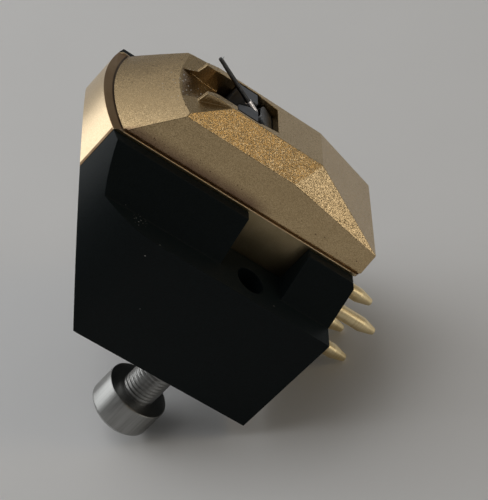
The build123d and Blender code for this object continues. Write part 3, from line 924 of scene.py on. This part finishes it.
@dataclass
class MountingScrews:
    """The two cap screws, each with a threaded shank and a hexagon socket."""

    spacing: float = 12.7
    head_radius: float = 2.25
    head_top: float = -3.05
    head_bottom: float = -5.55
    head_edge: float = 0.4
    head_corner: float = 0.09
    face_radius: float = 1.35
    socket_apothem: float = 1.0
    socket_depth: float = 1.3
    thread_radius: float = 1.25
    thread_depth: float = 0.065
    pitch: float = 0.3
    ridge_gain: float = 1.35
    ridge_cut: float = 0.12
    run_out: float = 0.35
    shank_gap: float = 0.03
    shank_end: float = 4.2
    shank_chamfer: float = 0.25
    rings_per_pitch: int = 10
    turns: int = 96

    def head(self, angle: np.ndarray) -> tuple[np.ndarray, np.ndarray]:
        """Rings from the socket's floor over its edge and the head's side to the shank.

        In the socket the radius is the hexagon's, apothem / cos(angle from the nearest flat's middle), times a share
        that goes with the height.

        Args:
            angle: angle of each point of a ring.

        Returns:
            Radius and height of each point, by ring and angle, in millimetres.
        """
        hexagon = self.socket_apothem / np.cos((angle % (pi / 3)) - pi / 6)
        mouth, floor = self.head_bottom, self.head_bottom + self.socket_depth
        socket = np.array(
            (
                (0.5, floor),
                (0.97, floor),
                (1.0, floor + 0.03),
                (1.0, (floor + mouth) / 2),
                (1.0, mouth + 0.06),
                (1.02, mouth + 0.02),
                (1.06, mouth),
            )
        )
        side = eased(
            [
                (self.face_radius, mouth),
                (self.head_radius - self.head_edge, mouth),
                (self.head_radius, mouth + self.head_edge),
                (self.head_radius, self.head_top),
                (self.thread_radius, self.head_top),
            ],
            self.head_corner,
        )
        flat = np.ones_like(angle)
        radius = np.concatenate((np.outer(socket[:, 0], hexagon), np.outer(side[:, 0], flat)))
        height = np.outer(np.concatenate((socket[:, 1], side[:, 1])), flat)
        return radius, height

    def shank(self, angle: np.ndarray) -> tuple[np.ndarray, np.ndarray]:
        """Rings along the threaded shank.

        The radius falls below the thread's crest by depth * ridge, where ridge is a triangle wave of
        height / pitch - angle / 2 pi with flat crests and roots. The thread fades out below the head, and the end is
        chamfered.

        Args:
            angle: angle of each point of a ring.

        Returns:
            Radius and height of each point, by ring and angle, in millimetres.
        """
        length = self.shank_end - self.head_top
        count = int(length / self.pitch * self.rings_per_pitch)
        height = np.linspace(self.head_top + self.shank_gap, self.shank_end, count)[:, None]
        phase = (height / self.pitch - angle / (2 * pi)) % 1.0
        ridge = np.clip(self.ridge_gain * np.abs(2 * phase - 1) - self.ridge_cut, 0, 1)
        fade = np.clip((height - self.head_top) / self.run_out, 0, 1)
        chamfer = np.clip(height - self.shank_end + self.shank_chamfer, 0, self.shank_chamfer)
        radius = self.thread_radius - self.thread_depth * ridge * fade - chamfer
        return radius, np.broadcast_to(height, radius.shape)

    def build(self) -> None:
        """Builds both screws and dresses them."""
        angle = np.linspace(0, 2 * pi, self.turns, endpoint=False)
        radius, height = (np.concatenate(pair) for pair in zip(self.head(angle), self.shank(angle)))
        for side in Side:
            spindle = Spindle((side.value * self.spacing / 2, 0, 0), (0, 0, 1))
            screw = skin(f"screw_{side.word}", spindle.rings(radius, height, angle))
            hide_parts(f"mounting_screw_{side.word}")
            seat(screw, Palette.SCREW, Body.CARTRIDGE)


@dataclass
class Terminals:
    """The terminal block with its four pins, and the leads and board behind it."""

    spacing: float = 3.04
    rear: float = 6.4
    tail: float = 2.5
    tip: float = 12.0
    taper: float = 0.55
    radius: float = 0.525
    tail_radius: float = 0.25
    corner: float = 0.09
    block_edge: float = 0.05

    def pin(self, side: Side, row: Row) -> None:
        """Turns one pin and dresses it.

        Args:
            side: side that the pin is on.
            row: row that the pin is in.
        """
        corners = [
            (0.0, self.tail),
            (self.tail_radius, self.tail),
            (self.tail_radius, self.rear),
            (self.radius, self.rear),
            (self.radius, self.tip - 2 * self.taper),
            (self.radius - self.taper / 2, self.tip),
            (0.0, self.tip),
        ]
        spindle = Spindle((side.value * self.spacing / 2, 0, row.value), (0, 1, 0))
        piece = turned(f"pin_{row.word}_{side.word}", f"{row.word}_{side.word}_pin", spindle, corners, self.corner)
        seat(piece, Palette.PIN, Body.CARTRIDGE)

    def build(self) -> None:
        """Builds block and pins, and paints the leads and their board."""
        block = softened("terminal_block", "pin_block", self.block_edge)
        seat(block, Palette.BLOCK, Body.CARTRIDGE)
        for side in Side:
            for row in Row:
                self.pin(side, row)
        paint(
            lead_strip=Palette.BOARD,
            upper_right_lead=Palette.RED,
            lower_right_lead=Palette.GREEN,
            upper_left_lead=Palette.WHITE,
            lower_left_lead=Palette.BLUE,
        )


@dataclass
class Generator:
    """The yokes, magnet, pole piece and suspension inside the cover."""

    yoke_edge: float = 0.04
    yoke_shortest: float = 0.03

    def build(self) -> None:
        """Eases the front yoke, which shows, and paints the pieces behind it."""
        yoke = softened("front_yoke", "yoke_block", self.yoke_edge, shortest=self.yoke_shortest)
        seat(yoke, Palette.YOKE, Body.CARTRIDGE)
        paint(
            magnet=Palette.NICKEL,
            rear_yoke=Palette.YOKE,
            pole_piece=Palette.POLE,
            set_screw=Palette.SCREW,
            suspension_wire=Palette.WIRE,
            damper_ring=Palette.RUBBER,
        )


@dataclass
class StylusArm:
    """The cantilever with its sleeve and tip, and the coils at its root."""

    pivot: Triple = (0.0, -2.48124, 14.66575)
    along: Triple = (0.0, -0.91355, 0.40674)
    sleeve_start: float = 0.25
    sleeve_end: float = 3.7
    sleeve_radius: float = 0.21
    sleeve_corner: float = 0.012
    socket_start: float = 2.2
    rod_end: float = 7.35
    root_radius: float = 0.17
    end_radius: float = 0.13
    rod_corner: float = 0.03
    glue_gap: float = 0.01
    tip_setback: float = 0.12
    tip_height: float = 0.32
    tip_radius: float = 0.075
    tip_point: float = 0.006
    tip_corner: float = 0.008
    tip_turns: int = 32

    def sleeve(self, line: Spindle) -> None:
        """Turns the sleeve, a tube from the coil former that is bored for the rod.

        Args:
            line: the cantilever's line.
        """
        bore = self.root_radius + self.glue_gap
        corners = [
            (0.0, self.sleeve_start),
            (self.sleeve_radius, self.sleeve_start),
            (self.sleeve_radius, self.sleeve_end),
            (bore, self.sleeve_end),
            (bore, self.socket_start),
            (0.0, self.socket_start),
        ]
        piece = turned("rod_sleeve", "cantilever_sleeve", line, corners, self.sleeve_corner)
        seat(piece, Palette.SLEEVE, Body.STYLUS)

    def rod(self, line: Spindle) -> None:
        """Turns the rod, which tapers from the sleeve to its end.

        Args:
            line: the cantilever's line.
        """
        corners = [
            (0.0, self.socket_start),
            (self.root_radius, self.socket_start),
            (self.root_radius, self.sleeve_end),
            (self.end_radius, self.rod_end),
            (0.0, self.rod_end),
        ]
        piece = turned("stylus_rod", "cantilever", line, corners, self.rod_corner)
        seat(piece, Palette.ROD, Body.STYLUS)

    def tip(self) -> None:
        """Turns the diamond: a short shank, then a cone with a rounded point."""
        root = np.array(self.pivot) + np.array(self.along) * (self.rod_end - self.tip_setback)
        corners = [
            (0.0, 0.0),
            (self.tip_radius, 0.0),
            (self.tip_radius, self.tip_height / 2),
            (self.tip_point, self.tip_height),
            (0.0, self.tip_height),
        ]
        spindle = Spindle(tuple(root), (0, 0, 1))
        piece = turned("diamond_tip", "stylus_tip", spindle, corners, self.tip_corner, self.tip_turns)
        seat(piece, Palette.DIAMOND, Body.STYLUS)

    def build(self) -> None:
        """Builds the sleeve, rod and tip, and paints the coils and their former."""
        line = Spindle(self.pivot, self.along)
        self.sleeve(line)
        self.rod(line)
        self.tip()
        paint(
            coil_former=Palette.POLE,
            right_coil=Palette.COPPER_RIGHT,
            left_coil=Palette.COPPER_LEFT,
        )


@dataclass(frozen=True)
class SoftPanel:
    """A soft square lamp, hung around the cartridge and turned to it."""

    name: str
    towards: Triple
    distance: float
    width: float
    level: float
    tint: Tone = (1.0, 1.0, 1.0)

    def hang(self) -> None:
        """Hangs the lamp; its level is the brightness of its face, where 1 is white."""
        data = bpy.data.lights.new(self.name, "AREA")
        data.shape = "SQUARE"
        data.size = self.width
        data.energy = self.level * pi * self.width**2
        data.color = self.tint
        lamp = bpy.data.objects.new(self.name, data)
        way = Vector(self.towards).normalized()
        turn = way.to_track_quat("Z", "Y").to_matrix().to_4x4()
        lamp.matrix_world = Matrix.Translation(way * self.distance) @ turn
        lamp.visible_camera = False
        bpy.context.scene.collection.objects.link(lamp)


@dataclass
class Stage:
    """The table that the cartridge lies on, the light around it and the camera."""

    heads_touch: tuple[float, float] = (2.0, -5.55)
    pins_touch: tuple[float, float] = (12.0, 4.0)
    table_size: float = 4.0
    table_gap: float = 0.02
    paper_deep: Tone = (0.705, 0.705, 0.705)
    paper_pale: Tone = (0.735, 0.735, 0.735)
    paper_grain: float = 9.0
    paper_rough: float = 0.9
    paper_gloss: float = 0.1
    room_dim: float = 0.06
    room_bright: float = 0.24
    room_tint: Tone = (1.0, 0.99, 0.97)
    room_towards: Triple = (-0.55, -0.82, -0.15)
    panels: tuple[SoftPanel, ...] = (
        SoftPanel("window", (-0.26, -0.84, -0.46), distance=0.30, width=0.27, level=1.95, tint=(0.97, 0.99, 1.0)),
        SoftPanel("front", (-0.55, -0.76, 0.32), distance=0.35, width=0.33, level=0.42, tint=(1.0, 0.99, 0.97)),
        SoftPanel("overhead", (-0.05, -0.86, 0.50), distance=0.40, width=0.30, level=1.0),
        SoftPanel("warm", (0.10, 0.16, 0.98), distance=0.30, width=0.08, level=2.25, tint=(1.0, 0.74, 0.37)),
        SoftPanel("side", (0.32, 0.60, 0.73), distance=0.30, width=0.10, level=2.4, tint=(1.0, 0.95, 0.86)),
        SoftPanel("edge", (-0.37, 0.70, 0.62), distance=0.30, width=0.07, level=1.4),
        SoftPanel("back", (-0.85, 0.42, 0.30), distance=0.30, width=0.22, level=0.36, tint=(0.82, 0.88, 1.0)),
    )
    camera_place: Triple = (99.342, -49.557, 69.242)
    camera_towards: Triple = (-0.776, 0.3979, -0.4894)
    camera_up: Triple = (-0.6307, -0.4744, 0.6142)
    lens: float = 141.76
    sensor: float = 36.0
    clip: tuple[float, float] = (0.001, 20.0)

    def table(self) -> None:
        """Lays the table just under the screw heads and the lower pins; it shows from above only."""
        heads, pins = (Vector((0, *touch)) * MM for touch in (self.heads_touch, self.pins_touch))
        rise = (pins - heads).normalized()
        middle = (heads + pins) / 2 - Vector((0, -rise.z, rise.y)) * self.table_gap * MM
        half = self.table_size / 2
        across, along = np.meshgrid((-half, half), (-half, half))
        points = np.stack((across, middle.y + along * rise.y, middle.z + along * rise.z), axis=-1).reshape(-1, 3)
        mesh = bpy.data.meshes.new("table")
        mesh.from_pydata(points.tolist(), [], [(0, 1, 3, 2)])
        table = bpy.data.objects.new("table", mesh)
        bpy.context.scene.collection.objects.link(table)
        mesh.materials.append(self.paper())
        table.visible_shadow = False
        table.visible_diffuse = False

    def paper(self) -> bpy.types.Material:
        """Makes the table's paper, clear from behind so that it hides nothing.

        Returns:
            The material.
        """
        bench = NodeBench("table_paper")
        bench.feed("Base Color", bench.blend(bench.noise(self.paper_grain), self.paper_deep, self.paper_pale))
        bench.fix({"Roughness": self.paper_rough, "Specular IOR Level": self.paper_gloss})
        behind = bench.add("NewGeometry", {}).outputs["Backfacing"]
        clear = bench.add("BsdfTransparent", {}).outputs["BSDF"]
        mix = bench.add("MixShader", {"Fac": behind, 1: bench.shader.outputs["BSDF"], 2: clear})
        bench.link(mix.outputs["Shader"], bench.tree.nodes["Material Output"].inputs["Surface"])
        return bench.material

    def room(self) -> None:
        """Lights the room: a soft glow that is brighter on the window's side."""
        world = bpy.data.worlds.new("room")
        bpy.context.scene.world = world
        world.use_nodes = True
        nodes, links = world.node_tree.nodes, world.node_tree.links
        coords = nodes.new("ShaderNodeTexCoord")
        dot = nodes.new("ShaderNodeVectorMath")
        dot.operation = "DOT_PRODUCT"
        dot.inputs[1].default_value = Vector(self.room_towards).normalized()
        links.new(coords.outputs["Generated"], dot.inputs[0])
        level = nodes.new("ShaderNodeMapRange")
        ends = {"From Min": -1, "From Max": 1, "To Min": self.room_dim, "To Max": self.room_bright}
        for name, number in ends.items():
            level.inputs[name].default_value = number
        level.interpolation_type = "SMOOTHSTEP"
        links.new(dot.outputs["Value"], level.inputs["Value"])
        links.new(level.outputs["Result"], nodes["Background"].inputs["Strength"])
        nodes["Background"].inputs["Color"].default_value = (*self.room_tint, 1)

    def camera(self) -> None:
        """Sets the camera where the picture was taken from."""
        data = bpy.data.cameras.new("camera")
        data.lens = self.lens
        data.sensor_fit = "HORIZONTAL"
        data.sensor_width = self.sensor
        data.clip_start, data.clip_end = self.clip
        forward = Vector(self.camera_towards).normalized()
        right = forward.cross(Vector(self.camera_up)).normalized()
        up = right.cross(forward)
        turn = Matrix((right, up, -forward)).transposed().to_4x4()
        camera = bpy.data.objects.new("camera", data)
        camera.matrix_world = Matrix.Translation(Vector(self.camera_place) * MM) @ turn
        bpy.context.scene.collection.objects.link(camera)
        bpy.context.scene.camera = camera

    def build(self) -> None:
        """Sets up table, light, camera and the plain view transform."""
        self.table()
        self.room()
        for panel in self.panels:
            panel.hang()
        self.camera()
        bpy.context.scene.view_settings.view_transform = "Standard"


def main() -> None:
    """Builds every sub-assembly and the stage, in order."""
    logging.basicConfig(level=logging.INFO, format="%(name)s: %(message)s")
    for part in (Stage(), Housing(), GoldShell(), MountingScrews(), Terminals(), Generator(), StylusArm()):
        part.build()


if __name__ == "__main__":
    main()
